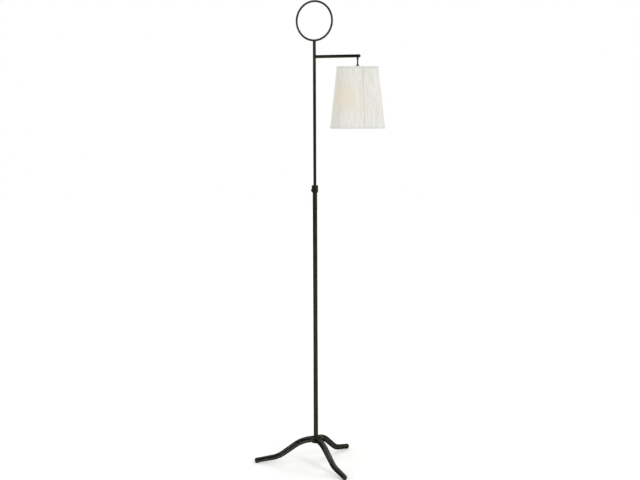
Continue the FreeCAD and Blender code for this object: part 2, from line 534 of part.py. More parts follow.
def make_lamp_holder():
    neck_bottom = f"({SPIDER_Z} - holder_cap_neck_length)"
    dome_bottom = f"({neck_bottom} - holder_cap_dome)"
    skirt_bottom = f"({dome_bottom} - holder_cap_skirt)"
    keep(put(turned("holder_cap", [
        ("coupler_diameter / 2", SPIDER_Z), ("holder_cap_neck / 2", SPIDER_Z), ("holder_cap_neck / 2", neck_bottom),
        ("holder_cap_diameter / 2", dome_bottom), ("holder_cap_diameter / 2", skirt_bottom),
        ("holder_cap_diameter / 2 - holder_cap_wall", skirt_bottom),
        ("holder_cap_diameter / 2 - holder_cap_wall", f"{dome_bottom} - holder_cap_wall / 2"),
        ("holder_cap_neck / 2", f"{neck_bottom} - holder_cap_wall"),
        ("coupler_diameter / 2", f"{neck_bottom} - holder_cap_wall")]), "arm_reach"))
    shell = sleeve("shell_blank", "shell_diameter / 2", SHELL_BORE, f"{SHELL_TOP} - shell_length", SHELL_TOP)
    liner = sleeve("liner_blank", f"{SHELL_BORE} - fit_gap", LINER_BORE, f"{SHELL_TOP} - liner_length", SHELL_TOP)
    core = rod("core_blank", f"{LINER_BORE} - fit_gap", CORE_BOTTOM, CORE_TOP)
    for name, blank in (("holder_shell", shell), ("holder_liner", liner), ("holder_core", core)):
        put(blank, "arm_reach")
        hole = cylinder(name + "_switch_hole", "switch_hole_diameter / 2", "shell_diameter")
        aim(put(hole, "arm_reach", "switch_spindle_in", SWITCH_Z), "switch_yaw")
        keep(cut(name, blank, hole))
    shell_outer = "(screw_shell_bore / 2 + screw_shell_wall)"
    keep(put(turned("screw_shell", [
        ("screw_shell_bore / 2", f"{CORE_BOTTOM} - screw_shell_length"),
        (shell_outer, f"{CORE_BOTTOM} - screw_shell_length"), (shell_outer, CORE_BOTTOM),
        ("screw_shell_mouth / 2", CORE_BOTTOM), ("screw_shell_mouth / 2", f"{CORE_BOTTOM} - screw_shell_wall"),
        ("screw_shell_bore / 2", f"{CORE_BOTTOM} - screw_shell_wall")]), "arm_reach"))
    keep(put(turned("centre_contact", [
        ("0", CONTACT_Z), ("contact_diameter / 2", CONTACT_Z),
        ("contact_diameter / 2", f"{CONTACT_Z} + contact_thickness"),
        ("contact_neck_diameter / 2", f"{CONTACT_Z} + contact_thickness"),
        ("contact_neck_diameter / 2", CORE_BOTTOM), ("0", CORE_BOTTOM)]), "arm_reach"))
    knob_start = "(switch_spindle_out - switch_knob_length + switch_knob_grip)"
    knob_end = f"({knob_start} + switch_knob_length)"
    spindle = rod("switch_spindle", "switch_spindle_diameter / 2", "switch_spindle_in + running_gap",
                  "switch_spindle_out")
    keep(aim(put(spindle, "arm_reach", "0", SWITCH_Z), "switch_yaw"))
    knob = turned("switch_knob_blank", [
        ("switch_spindle_diameter / 2", knob_start), ("switch_knob_waist / 2", knob_start),
        ("switch_knob_diameter / 2", f"{knob_start} + switch_knob_grip"), ("switch_knob_diameter / 2", knob_end),
        ("0", knob_end), ("0", "switch_spindle_out"), ("switch_spindle_diameter / 2", "switch_spindle_out")])
    aim(put(knob, "arm_reach", "0", SWITCH_Z), "switch_yaw")
    flats = []
    for side, start in (("upper", "switch_knob_waist / 2"), ("lower", "-switch_knob_waist / 2 - switch_knob_diameter")):
        flat = block("switch_knob_%s_flat" % side, "2 * switch_knob_diameter", "switch_knob_length",
                     "switch_knob_diameter")
        put(flat, "arm_reach - switch_knob_diameter", f"{knob_start} + switch_knob_grip", f"{SWITCH_Z} + {start}")
        flats.append(flat)
    keep(cut("switch_knob", cut("switch_knob_flatted", knob, flats[0]), flats[1]))


# Bulb: a clear globe on a screw cap, with its contact and its four light filaments on a post

def make_globe(name, shrink):
    radius = f"(bulb_diameter / 2 - {shrink})"
    ball = put(bind(doc.addObject("Part::Sphere", name + "_ball"), {"Radius": radius}), "arm_reach", "0", BULB_CENTRE)
    neck_bottom = f"({BULB_CENTRE} + bulb_diameter / 2 * cos(45))"
    neck_top = f"({neck_bottom} + bulb_neck_drop)"
    cone = bind(doc.addObject("Part::Cone", name + "_neck"), {
        "Radius1": f"{radius} * sin(45)", "Radius2": f"bulb_neck_diameter / 2 - {shrink}",
        "Height": f"bulb_neck_drop + {shrink} * cos(45)"})
    put(cone, "arm_reach", "0", f"{neck_bottom} - {shrink} * cos(45)")
    tail_length = f"{BULB_CAP_TOP} - bulb_cap_tuck - bulb_cap_wall - {neck_top}"
    tail = cylinder(name + "_tail", f"bulb_neck_diameter / 2 - {shrink}", tail_length)
    put(tail, "arm_reach", "0", neck_top)
    return fuse(name, ball, cone, tail)


def make_bulb():
    keep(cut("bulb_glass", make_globe("bulb_outside", "0"), make_globe("bulb_inside", "bulb_wall")))
    keep(put(turned("bulb_cap", [
        ("bulb_neck_diameter / 2", f"{BULB_CAP_TOP} - bulb_cap_length"),
        ("bulb_cap_diameter / 2", f"{BULB_CAP_TOP} - bulb_cap_length"),
        ("bulb_cap_diameter / 2", f"{BULB_CAP_TOP} - bulb_cap_tuck"), ("bulb_insulator_foot / 2", BULB_CAP_TOP),
        ("bulb_insulator_foot / 2 - bulb_cap_wall", f"{BULB_CAP_TOP} - bulb_cap_wall"),
        ("bulb_neck_diameter / 2", f"{BULB_CAP_TOP} - bulb_cap_tuck - bulb_cap_wall")]), "arm_reach"))
    insulator_top = f"({BULB_CAP_TOP} + bulb_insulator_height)"
    keep(put(turned("bulb_insulator", [
        ("0", BULB_CAP_TOP), ("bulb_insulator_foot / 2", BULB_CAP_TOP), ("bulb_insulator_tip / 2", insulator_top),
        ("0", insulator_top)]), "arm_reach"))
    keep(put(rod("bulb_contact", "bulb_insulator_tip / 2", insulator_top, BULB_TOP), "arm_reach"))
    post_top = BULB_CAP_TOP
    post_bottom = f"({post_top} - post_length)"
    keep(put(rod("bulb_post", "post_diameter / 2", post_bottom, post_top), "arm_reach"))
    filaments = []
    for number in range(round(size_of("filament_count"))):
        bearing = f"(360 * {number} / filament_count)"
        filament = cylinder("bulb_filament_%d" % (number + 1), "filament_diameter / 2", "filament_length")
        put(filament, f"arm_reach + filament_circle / 2 * cos{bearing}", f"filament_circle / 2 * sin{bearing}",
            f"{post_bottom} + filament_rise")
        spacer = cylinder("bulb_spacer_%d" % (number + 1), "filament_diameter / 4", "filament_circle / 2")
        aim(put(spacer, "arm_reach", "0", f"{post_bottom} + filament_rise + filament_diameter"), bearing)
        filaments.append(fuse("bulb_arm_%d" % (number + 1), filament, spacer))
    post_room = put(cylinder("bulb_post_room", "post_diameter / 2", "post_length"), "arm_reach", "0", post_bottom)
    keep(cut("bulb_filaments", group("bulb_filament_set", filaments), post_room))


# Shade: spider, wire frame, pleated cover, lining and edge trims

def make_spider():
    spider = sleeve("shade_spider", "spider_hub_diameter / 2", "coupler_diameter / 2", "-spider_thickness", "0")
    doc.recompute()
    reach = f"(shade_top_radius - {SKIN_DEPTH} - ring_wire - fit_gap)"
    spoke = spider.newObject("PartDesign::AdditiveCylinder", "shade_spider_spoke")
    bind(spoke, {"Radius": "spoke_diameter / 2", "Height": f"{reach} - spider_hub_diameter / 2 + ring_wire"})
    aim(put(spoke, "spider_hub_diameter / 2 - ring_wire", "0", "-spoke_diameter / 2"), "0")
    spokes = spider.newObject("PartDesign::PolarPattern", "shade_spider_spokes")
    spokes.Originals = [spoke]
    spokes.Axis = ([axis for axis in spider.Origin.OriginFeatures if axis.Role == "Z_Axis"][0], [""])
    spokes.Angle = 360
    bind(spokes, {"Occurrences": "spoke_count"})
    spider.Tip = spokes
    keep(turn(put(spider, "arm_reach", "0", SHADE_TOP), "spoke_yaw"))


def make_shade_frame():
    inset = f"({SKIN_DEPTH} + ring_wire / 2)"
    ring_drop = "(ring_wire / 2)"
    rings = {
        "top_wire_ring": (f"(shade_top_radius - {inset})", ring_drop),
        "bottom_wire_ring": (f"(shade_bottom_radius - {inset} - {SLOPE} * {ring_drop})",
                             f"(shade_height - {ring_drop})")}
    for name, (radius, drop) in rings.items():
        ring = bind(doc.addObject("Part::Torus", name), {"Radius1": radius, "Radius2": "ring_wire / 2"})
        ring.Label = name
        keep(put(ring, "arm_reach", "0", f"{SHADE_TOP} - {drop}"))
    start_drop = f"({ring_drop} + ring_wire / 2 + fit_gap)"
    fall = f"(shade_height - 2 * {start_drop})"
    start_radius = f"(shade_top_radius - {inset} + {SLOPE} * {start_drop})"
    ribs = []
    for number in range(round(size_of("rib_count"))):
        bearing = f"(rib_yaw + 360 * {number} / rib_count)"
        rib = cylinder("shade_rib_%d" % (number + 1), "rib_wire / 2", f"{fall} * sqrt(1 + {SLOPE} ^ 2)")
        put(rib, f"arm_reach + {start_radius} * cos{bearing}", f"{start_radius} * sin{bearing}",
            f"{SHADE_TOP} - {start_drop}")
        ribs.append(aim(rib, bearing, f"180 - atan({SLOPE}) / 1 deg"))
    keep(group("shade_ribs", ribs))


def pleated_wall(drop_top, drop_bottom, inset, fold):
    """A tapered solid whose wall zigzags between ridges and valleys, from one height to a lower one."""
    count = round(size_of("pleat_count"))
    wires = []
    for drop in (drop_top, drop_bottom):
        ridge = size_of(f"shade_top_radius + {SLOPE} * ({drop}) - ({inset})")
        valley = ridge - size_of(fold)
        corners = []
        for step in range(2 * count):
            angle = math.pi * step / count
            radius = valley if step % 2 else ridge
            corners.append(V(radius * math.cos(angle), radius * math.sin(angle), -size_of(drop)))
        wires.append(Part.makePolygon(corners + corners[:1]))
    return Part.makeLoft(wires, True, True)


def make_shade_skin():
    inset = "trim_thickness + fit_gap"
    outside = pleated_wall("0", "shade_height", inset, "pleat_depth")
    inside = pleated_wall("-cut_over", "shade_height + cut_over", inset + " + cover_thickness", "pleat_depth")
    cover = doc.addObject("Part::Feature", "shade_cover")
    cover.Label = "shade_cover"
    cover.Shape = outside.cut(inside)
    keep(put(cover, "arm_reach", "0", SHADE_TOP))
    stack = f"({SKIN_DEPTH} + ring_wire + fit_gap)"
    top = f"(shade_top_radius + {SLOPE} * lining_drop - {stack})"
    bottom = f"(shade_bottom_radius - {stack})"
    keep(put(turned("shade_lining", [
        (top, "-lining_drop"), (bottom, "-shade_height"), (f"{bottom} - lining_thickness", "-shade_height"),
        (f"{top} - lining_thickness", "-lining_drop")]), "arm_reach", "0", SHADE_TOP))
    trims = {
        "top_trim": ("shade_top_radius", f"(shade_top_radius + {SLOPE} * trim_height)", "0", "-trim_height"),
        "bottom_trim": (f"(shade_bottom_radius - {SLOPE} * trim_height)", "shade_bottom_radius",
                        "-shade_height + trim_height", "-shade_height")}
    for name, (upper, lower, start, end) in trims.items():
        keep(put(turned(name, [
            (upper, start), (lower, end), (f"{lower} - trim_thickness", end),
            (f"{upper} - trim_thickness", start)]), "arm_reach", "0", SHADE_TOP))


for side in ("left", "front", "rear"):
    make_leg(side)
make_hub()
make_lower_tube()
make_thumb_screw()
make_mast()
make_arm()
make_swivel()
make_hanger()
make_lamp_holder()
make_bulb()
make_spider()
make_shade_frame()
make_shade_skin()
doc.removeObject(probe.Name)
doc.recompute()

for thing in doc.Objects:
    if any(word in ("Invalid", "Error") for word in thing.State):
        raise RuntimeError("not built: " + thing.Label)
os.makedirs(PARTS_FOLDER, exist_ok=True)
for node in NODES:
    shape = node.Shape
    if shape.isNull() or not shape.isValid() or not shape.Solids:
        raise RuntimeError("bad shape: " + node.Label)
    shape.exportStep(os.path.join(PARTS_FOLDER, node.Label + ".step"))
    print("%-18s %2d solid  %10.1f mm3" % (node.Label, len(shape.Solids), shape.Volume))
print("nodes", len(NODES))
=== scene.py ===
import bmesh
import bpy
import json
import math
import random
from mathutils import Matrix, Vector, noise


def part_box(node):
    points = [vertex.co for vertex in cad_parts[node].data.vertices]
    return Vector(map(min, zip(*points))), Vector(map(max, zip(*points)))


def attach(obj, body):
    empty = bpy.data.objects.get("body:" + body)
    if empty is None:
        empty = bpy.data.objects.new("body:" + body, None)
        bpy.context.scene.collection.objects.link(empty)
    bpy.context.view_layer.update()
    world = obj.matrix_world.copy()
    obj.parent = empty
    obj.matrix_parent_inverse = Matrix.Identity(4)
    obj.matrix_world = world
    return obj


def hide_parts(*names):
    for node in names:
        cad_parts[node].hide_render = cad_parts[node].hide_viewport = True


# The looks of an adjustable floor lamp: forged iron legs, a dark patinated stem with a carrying ring,
# and a pleated cotton shade on a short arm. Metres, +Z up, the arm along +X.

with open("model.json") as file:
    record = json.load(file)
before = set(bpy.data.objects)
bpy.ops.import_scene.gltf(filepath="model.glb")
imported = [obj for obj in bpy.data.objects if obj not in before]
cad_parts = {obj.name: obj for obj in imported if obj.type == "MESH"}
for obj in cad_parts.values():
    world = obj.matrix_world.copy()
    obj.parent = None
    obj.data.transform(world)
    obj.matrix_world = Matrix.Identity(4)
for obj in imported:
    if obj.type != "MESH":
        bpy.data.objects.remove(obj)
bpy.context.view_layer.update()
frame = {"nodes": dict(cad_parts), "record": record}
MM = 0.001
TURN = 2 * math.pi


# Colours and nodes

def paint(code):
    """An sRGB hex value as a linear colour."""
    shares = [int(code[place:place + 2], 16) / 255 for place in (1, 3, 5)]
    return [share / 12.92 if share <= 0.04045 else ((share + 0.055) / 1.055) ** 2.4 for share in shares] + [1]


def add(tree, kind, inputs=None, **settings):
    """Add a node. Its inputs are values, or the sockets that feed them."""
    made = tree.nodes.new(kind)
    for name, value in settings.items():
        setattr(made, name, value)
    for name, value in (inputs or {}).items():
        if isinstance(value, bpy.types.NodeSocket):
            tree.links.new(value, made.inputs[name])
        else:
            made.inputs[name].default_value = value
    return made


MIX_FACTOR, MIX_FIRST, MIX_SECOND, MIX_RESULT = 0, 6, 7, 2


def new_material(name, **sockets):
    """A material with one Principled shader, its plain sockets set. Returns material, tree and shader."""
    material = bpy.data.materials.new(name)
    material.use_nodes = True
    tree = material.node_tree
    shader = tree.nodes["Principled BSDF"]
    for socket, value in sockets.items():
        shader.inputs[socket.replace("_", " ")].default_value = value
    return material, tree, shader


def patches(tree, size, detail, stretch=(1, 1, 1)):
    """Soft noise with patches about as wide as size in metres, on the piece's own coordinates."""
    place = add(tree, "ShaderNodeTexCoord").outputs["Object"]
    held = add(tree, "ShaderNodeMapping", {"Vector": place, "Scale": stretch})
    return add(tree, "ShaderNodeTexNoise", {"Vector": held.outputs["Vector"], "Scale": 1 / size,
                                            "Detail": detail}).outputs["Fac"]


def reckon(tree, operation, first, second):
    """The socket that one step of arithmetic on two values or sockets gives."""
    return add(tree, "ShaderNodeMath", {0: first, 1: second}, operation=operation).outputs[0]


def spread(tree, value, low, high, start=0.3, end=0.7):
    """The value from start to end, spread from low to high."""
    return add(tree, "ShaderNodeMapRange", {"Value": value, "From Min": start, "From Max": end, "To Min": low,
                                            "To Max": high}).outputs["Result"]


def blend_colours(tree, factor, first, second):
    return add(tree, "ShaderNodeMix", {MIX_FACTOR: factor, MIX_FIRST: first, MIX_SECOND: second},
               data_type="RGBA").outputs[MIX_RESULT]


def bump(tree, height, depth, below=None):
    """Raise the surface by the height times the depth in metres, over an earlier bump."""
    inputs = {"Height": height, "Distance": depth, "Strength": 1.0}
    if below is not None:
        inputs["Normal"] = below
    return add(tree, "ShaderNodeBump", inputs).outputs["Normal"]


# Materials, each named for what the real one is

def make_patina(name, dark, light, rough_low, rough_high, dent_size, dent_depth):
    """Forged or drawn steel under a dark bronze patina and wax: satin, olive brown black, clouded."""
    material, tree, shader = new_material(name, Metallic=1.0, Specular_Tint=(0.22, 0.22, 0.21, 1))
    cloud = patches(tree, 26 * MM, 5)
    grain = patches(tree, 2.2 * MM, 4)
    tone = reckon(tree, "MULTIPLY", cloud, grain)
    colour = blend_colours(tree, spread(tree, tone, 0, 1, 0.15, 0.36), paint(dark), paint(light))
    tree.links.new(colour, shader.inputs["Base Color"])
    tree.links.new(spread(tree, cloud, rough_low, rough_high), shader.inputs["Roughness"])
    dents = bump(tree, patches(tree, dent_size, 2), dent_depth)
    tree.links.new(bump(tree, grain, 0.03 * MM, dents), shader.inputs["Normal"])
    return material


def make_metal(name, base, shade, rough, brushed):
    """A bare metal with faint cloudiness and fine marks of the tool that finished it."""
    material, tree, shader = new_material(name, Metallic=1.0)
    cloud = patches(tree, 9 * MM, 4)
    colour = blend_colours(tree, spread(tree, cloud, 0, 1), paint(base), paint(shade))
    tree.links.new(colour, shader.inputs["Base Color"])
    tree.links.new(spread(tree, cloud, rough, rough + 0.14), shader.inputs["Roughness"])
    marks = patches(tree, 0.5 * MM, 2, (1, 1, brushed))
    tree.links.new(bump(tree, marks, 0.02 * MM), shader.inputs["Normal"])
    return material


def make_plain(name, base, shade, rough, grain, depth):
    """A moulded, coated or pressed material: near one colour, with the grain that its surface has."""
    material, tree, shader = new_material(name)
    cloud = patches(tree, 7 * MM, 3)
    colour = blend_colours(tree, spread(tree, cloud, 0, 1), paint(base), paint(shade))
    tree.links.new(colour, shader.inputs["Base Color"])
    tree.links.new(spread(tree, cloud, rough, rough + 0.1), shader.inputs["Roughness"])
    tree.links.new(bump(tree, patches(tree, grain, 2), depth), shader.inputs["Normal"])
    return material


def make_pleated_cotton():
    """Off-white cotton and linen, pleated and pressed: matt and streaked down the pleats. Painted light on
    it:
    a warm painted glow of the lit bulb through the cloth, painted shade in the folds, and a painted shadow
    where a wire of the frame stands behind it. Its thread is drawn coarser than a real one, at 0.9 mm, so
    that it shows from near by."""
    material, tree, shader = new_material("pleated cotton", Roughness=0.92, Specular_IOR_Level=0.25,
                                          Sheen_Weight=0.12, Sheen_Roughness=0.6)
    cloth = add(tree, "ShaderNodeUVMap", uv_map="cloth").outputs["UV"]
    streak_width, streak_length, thread = 5 * MM, 60 * MM, 0.9 * MM
    long_streaks = add(tree, "ShaderNodeMapping", {"Vector": cloth,
                                                   "Scale": (1 / streak_width, 1 / streak_length, 1)})
    streak = add(tree, "ShaderNodeTexNoise", {"Vector": long_streaks.outputs["Vector"], "Scale": 1.0,
                                              "Detail": 3.0}).outputs["Fac"]
    plain = blend_colours(tree, spread(tree, streak, 0, 1, 0.35, 0.65), paint("#d1d1cc"), paint("#e1e1dd"))
    # Painted glow: the bulb's light through the cloth, warmer where the glow attribute is high.
    glow = add(tree, "ShaderNodeAttribute", attribute_name="glow").outputs["Fac"]
    warm = blend_colours(tree, glow, plain, paint("#d4cbbc"))
    # Painted shade in the folds: the cloth darkens towards the inner fold of each pleat.
    fold = add(tree, "ShaderNodeAttribute", attribute_name="fold").outputs["Fac"]
    folded = blend_colours(tree, spread(tree, fold, 0, 0.5, 0.25, 1), warm, paint("#cdcac1"))
    # Painted shadow of the frame's wires on the cloth.
    wire = add(tree, "ShaderNodeAttribute", attribute_name="wire").outputs["Fac"]
    colour = blend_colours(tree, spread(tree, wire, 0, 0.7, 0, 1), folded, paint("#b7b3a6"))
    tree.links.new(colour, shader.inputs["Base Color"])
    # Painted glow: the cover emits its own colour all over, more in the glow spot, standing in for the lit
    # bulb's light through it.
    tree.links.new(colour, shader.inputs["Emission Color"])
    tree.links.new(spread(tree, glow, 0.26, 0.36, 0, 1), shader.inputs["Emission Strength"])
    threads = add(tree, "ShaderNodeMapping", {"Vector": cloth, "Scale": (1 / thread, 1 / thread, 1)})
    weave, cross = [add(tree, "ShaderNodeTexWave", {"Vector": threads.outputs["Vector"], "Scale": 1.0,
                                                    "Distortion": 0.6}, bands_direction=way).outputs["Fac"]
                    for way in ("X", "Y")]
    slubs = bump(tree, streak, 0.16 * MM)
    woven = bump(tree, reckon(tree, "MAXIMUM", weave, cross), 0.06 * MM, slubs)
    tree.links.new(woven, shader.inputs["Normal"])
    return material


def make_cloth(name, base, shade, glow_strength):
    """A smooth woven cloth: matt, with a fine even thread. It emits its own colour at glow_strength, a
    painted glow standing in for the bulb's light through it.
    """
    material, tree, shader = new_material(name, Roughness=0.9, Specular_IOR_Level=0.25, Sheen_Weight=0.1,
                                          Emission_Strength=glow_strength)
    cloud = patches(tree, 12 * MM, 3, (1, 1, 0.3))
    colour = blend_colours(tree, spread(tree, cloud, 0, 1), paint(base), paint(shade))
    tree.links.new(colour, shader.inputs["Base Color"])
    # Painted glow.
    tree.links.new(colour, shader.inputs["Emission Color"])
    tree.links.new(bump(tree, patches(tree, 0.8 * MM, 2), 0.08 * MM), shader.inputs["Normal"])
    return material


def make_glass():
    """Clear blown soda glass, faintly wavy."""
    material, tree, shader = new_material("bulb glass", Roughness=0.02, IOR=1.5, Transmission_Weight=1.0)
    tree.links.new(bump(tree, patches(tree, 14 * MM, 1), 0.15 * MM), shader.inputs["Normal"])
    shader.inputs["Base Color"].default_value = paint("#fbf8f0")
    return material


def make_filament():
    """Phosphor filament, lit: a warm even glow with a slightly mottled coat."""
    material, tree, shader = new_material("lit filament", Roughness=0.6, Emission_Strength=3.0)
    mottle = patches(tree, 1.5 * MM, 2)
    colour = blend_colours(tree, spread(tree, mottle, 0, 1), paint("#ffd79a"), paint("#ffc578"))
    tree.links.new(colour, shader.inputs["Base Color"])
    tree.links.new(colour, shader.inputs["Emission Color"])
    return material


FORGED = make_patina("forged iron patina", "#3c3c38", "#4f4f4a", rough_low=0.24, rough_high=0.34,
                     dent_size=9 * MM, dent_depth=0.35 * MM)
DRAWN = make_patina("drawn steel patina", "#322f26", "#3d3a2f", rough_low=0.26, rough_high=0.33,
                    dent_size=30 * MM, dent_depth=0.05 * MM)
ZINC = make_metal("zinc plated steel", "#b9bab8", "#9fa09d", rough=0.3, brushed=0.3)
BRASS = make_metal("satin brass", "#c9a765", "#b08d4c", rough=0.28, brushed=0.1)
NYLON = make_plain("natural nylon", "#e6e3d8", "#dad6c8", rough=0.45, grain=1.2 * MM, depth=0.03 * MM)
BLACK = make_plain("black phenolic moulding", "#171717", "#202020", rough=0.3, grain=1.6 * MM,
                   depth=0.03 * MM)
CARD = make_plain("pressed insulating card", "#8d7352", "#7c6446", rough=0.8, grain=0.8 * MM, depth=0.08 * MM)
RUBBER = make_plain("black rubber", "#1a1a19", "#232321", rough=0.75, grain=0.6 * MM, depth=0.06 * MM)
COATED = make_plain("white coated wire", "#e4e2da", "#d8d5cb", rough=0.4, grain=2 * MM, depth=0.05 * MM)
COTTON = make_pleated_cotton()
# The lining and the edge tape carry a painted glow of the bulb's light.
LINING = make_cloth("smooth lining", "#efe9dc", "#e6dfcf", glow_strength=0.12)
TAPE = make_cloth("woven edge tape", "#e6e6e3", "#dcdcd8", glow_strength=0.12)
THREAD = make_plain("cotton thread", "#e6e4dd", "#dcd9d0", rough=0.8, grain=0.4 * MM, depth=0.05 * MM)
GLASS = make_glass()
FILAMENT = make_filament()
FINISHES = {
    "aged_iron": DRAWN, "zinc_steel": ZINC, "brass": BRASS, "nylon": NYLON, "black_plastic": BLACK,
    "card": CARD, "foot_rubber": RUBBER, "wire_white": COATED, "pleated_fabric": COTTON,
    "lining_fabric": LINING, "trim_fabric": TAPE, "clear_glass": GLASS, "filament": FILAMENT,
}
for part in frame["record"]["subparts"]:
    for held in frame["nodes"][part["node"]].material_slots:
        held.material = FINISHES[part["material_slot"]]


# Pieces and how they are finished

def new_piece(name, mesh, finish, slot_name, body, *replaced):
    piece = bpy.data.objects.new(name, mesh)
    bpy.context.scene.collection.objects.link(piece)
    mesh.materials.clear()
    mesh.materials.append(finish)
    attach(piece, body)
    if replaced:
        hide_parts(*replaced)
    return piece


def settled(holder):
    """The plain mesh that an object's modifiers give. The holder is then removed."""
    seen = holder.evaluated_get(bpy.context.evaluated_depsgraph_get())
    mesh = bpy.data.meshes.new_from_object(seen)
    bpy.data.objects.remove(holder)
    return mesh


def hold(mesh):
    holder = bpy.data.objects.new("holder", mesh)
    bpy.context.scene.collection.objects.link(holder)
    return holder


def smooth(mesh):
    for face in mesh.polygons:
        face.use_smooth = True
    return mesh


def centre_of(node_name):
    low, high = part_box(node_name)
    return (Vector(low) + Vector(high)) / 2


# Forged pieces: the bar's own shape with the flats that the hammer leaves

LEGS = ("left", "front", "rear")


def forge(node_name, piece_name, body, grid, dent_size, dent_depth):
    """The node's bar on an even grid, with a flat about every dent_size and slow waves between them."""
    flat_reach, wave_share, middle_depth = 0.55, 0.4, 0.25
    mesh = frame["nodes"][node_name].data.copy()
    worked = bmesh.new()
    worked.from_mesh(mesh)
    bmesh.ops.remove_doubles(worked, verts=worked.verts, dist=0.01 * MM)
    worked.to_mesh(mesh)
    worked.free()
    holder = hold(mesh)
    remesh = holder.modifiers.new("even faces", "REMESH")
    remesh.mode = "VOXEL"
    remesh.voxel_size = grid
    relax = holder.modifiers.new("relax", "SMOOTH")
    relax.factor = 0.5
    relax.iterations = 3
    mesh = settled(holder)
    normals = [vertex.normal.copy() for vertex in mesh.vertices]
    for vertex, normal in zip(mesh.vertices, normals):
        near = noise.voronoi(vertex.co / dent_size)[0][0]
        flat = 1 - min(1, near / flat_reach)
        wave = noise.noise(vertex.co / (4 * dent_size))
        vertex.co -= normal * dent_depth * (flat * flat * (3 - 2 * flat) + wave_share * wave - middle_depth)
    return new_piece(piece_name, smooth(mesh), FORGED, "aged_iron", body, node_name)


for side in LEGS:
    forge(side + "_leg", side + "_leg_forging", "root", grid=1.4 * MM, dent_size=10 * MM, dent_depth=0.4 * MM)
forge("finial_ring", "carrying_ring", "mast", grid=0.9 * MM, dent_size=14 * MM, dent_depth=0.16 * MM)


# Weld beads, ground nearly smooth

def sweep(name, body, path, radius, ripple):
    """A closed bead along a closed path, its radius rippling a little, once in about five points."""
    sides = 10
    count = len(path)
    ripples = round(count / 5)
    spine = bmesh.new()
    rings = []
    for step, place in enumerate(path):
        ahead = (path[(step + 1) % count] - path[step - 1]).normalized()
        out = ahead.orthogonal().normalized()
        side = ahead.cross(out)
        girth = radius * (1 + ripple * math.sin(TURN * step * ripples / count))
        rings.append([spine.verts.new(place + girth * (out * math.cos(TURN * turn / sides)
                                                       + side * math.sin(TURN * turn / sides)))
                      for turn in range(sides)])
    for step in range(count):
        first, second = rings[step], rings[(step + 1) % count]
        shift = min(range(sides), key=lambda turn: (second[turn].co - first[0].co).length)
        for turn in range(sides):
            spine.faces.new([first[turn], first[(turn + 1) % sides], second[(turn + 1 + shift) % sides],
                             second[(turn + shift) % sides]])
    bmesh.ops.recalc_face_normals(spine, faces=spine.faces)
    mesh = bpy.data.meshes.new(name)
    spine.to_mesh(mesh)
    spine.free()
    return new_piece(name, smooth(mesh), FORGED, "aged_iron", body)


def crossing(bar_radius, post_radius, centre, yaw, steps=60):
    """Where a level bar that heads along yaw meets an upright post: points round the bar. They stay off
    the post's very edge, where a bar as wide as the post would leave it."""
    turned = Matrix.Rotation(yaw, 3, "Z")
    widest = 0.98 * post_radius
    points = []
    for step in range(steps):
        angle = TURN * step / steps
        across = math.copysign(min(bar_radius * abs(math.sin(angle)), widest), math.sin(angle))
        out = math.sqrt(post_radius ** 2 - across ** 2)
        points.append(centre + turned @ Vector((out, across, bar_radius * math.cos(angle))))
    return points


def ring_points(radius, height, steps, squeeze=1, sag=0):
    """Points round the stem. Squeeze narrows the ring across the arm, and sag lowers it there."""
    angles = [TURN * step / steps for step in range(steps)]
    return [Vector((radius * math.cos(angle), squeeze * radius * math.sin(angle),
                    height - sag * abs(math.sin(angle))))
            for angle in angles]


hub_low, hub_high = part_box("base_hub")
HUB_RADIUS = (hub_high[0] - hub_low[0]) / 2
HUB_SKIRT = 1 * MM
LEG_RADIUS = (hub_high[2] - hub_low[2] - HUB_SKIRT) / 2
crown = Vector((0, 0, hub_high[2] - LEG_RADIUS))
for side in LEGS:
    foot = centre_of(side + "_foot_pad")
    seam = crossing(LEG_RADIUS - 0.5 * MM, HUB_RADIUS, crown, math.atan2(foot.y, foot.x))
    sweep(side + "_leg_weld", "root", seam, radius=0.9 * MM, ripple=0.12)
tube_low, tube_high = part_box("lower_tube")
TUBE_RADIUS = (tube_high[0] - tube_low[0]) / 2
sweep("stem_foot_weld", "root", ring_points(TUBE_RADIUS, hub_high[2], steps=60), radius=1.0 * MM, ripple=0.1)
mast_low, mast_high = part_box("upper_tube")
MAST_RADIUS = (mast_high[0] - mast_low[0]) / 2
arm_low, arm_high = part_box("arm")
ARM_RADIUS = (arm_high[2] - arm_low[2]) / 2
arm_root = Vector((0, 0, (arm_high[2] + arm_low[2]) / 2))
sweep("arm_weld", "mast", crossing(ARM_RADIUS, MAST_RADIUS, arm_root, yaw=0), radius=0.8 * MM, ripple=0.1)
saddle = ring_points(MAST_RADIUS, mast_high[2], steps=48, squeeze=0.9, sag=1.2 * MM)
sweep("ring_weld", "mast", saddle, radius=0.8 * MM, ripple=0.1)


# Threads and stitches, made by geometry nodes

def new_tree(name, sizes):
    """A geometry tree with named sizes. Returns the tree and its input node."""
    tree = bpy.data.node_groups.new(name, "GeometryNodeTree")
    tree.interface.new_socket("Geometry", in_out="OUTPUT", socket_type="NodeSocketGeometry")
    for size_name, kind in sizes.items():
        tree.interface.new_socket(size_name, in_out="INPUT", socket_type=kind)
    return tree, tree.nodes.new("NodeGroupInput")


def close_tree(tree, geometry, finish):
    real = add(tree, "GeometryNodeRealizeInstances", {"Geometry": geometry})
    dressed = add(tree, "GeometryNodeSetMaterial", {"Geometry": real.outputs["Geometry"]})
    dressed.inputs["Material"].default_value = finish
    add(tree, "NodeGroupOutput", {"Geometry": dressed.outputs["Geometry"]})


def grow(tree, sizes):
    """The plain mesh that the tree gives for these sizes."""
    holder = hold(bpy.data.meshes.new("seed"))
    grower = holder.modifiers.new("grow", "NODES")
    grower.node_group = tree
    for item in tree.interface.items_tree:
        if item.in_out == "INPUT":
            grower[item.identifier] = sizes[item.name]
    return settled(holder)


